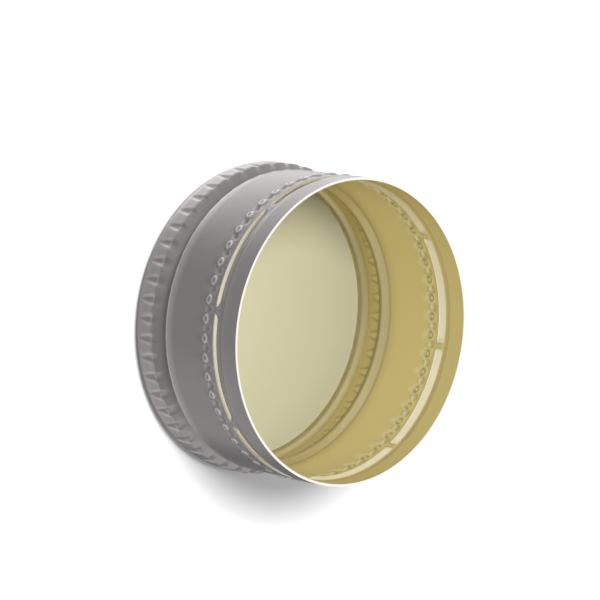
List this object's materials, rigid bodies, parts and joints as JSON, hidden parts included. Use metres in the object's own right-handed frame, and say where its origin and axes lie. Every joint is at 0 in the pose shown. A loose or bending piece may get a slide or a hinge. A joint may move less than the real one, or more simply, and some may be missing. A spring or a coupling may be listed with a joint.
{
  "type": "bottle cap",
  "caption": "Roll-on metal screw cap blank: one thin drawn shell with a fluted grip band, a rolled groove and a slit ring above its rim.",
  "frame": {"origin": "centre of the closed panel's outer face, which the cap stands on", "axes": "+Z along the cap's axis, from the closed panel out through the open mouth; +X through the middle of one bridge of the slit ring"},
  "size_m": [0.028, 0.028, 0.0135],
  "materials": {
    "lacquered_aluminium": "grey lacquer outside, pale gold lacquer inside, bare metal at the cut edges"
  },
  "bodies": {
    "root": {"cap_shell": "lacquered_aluminium"}
  },
  "joints": []
}
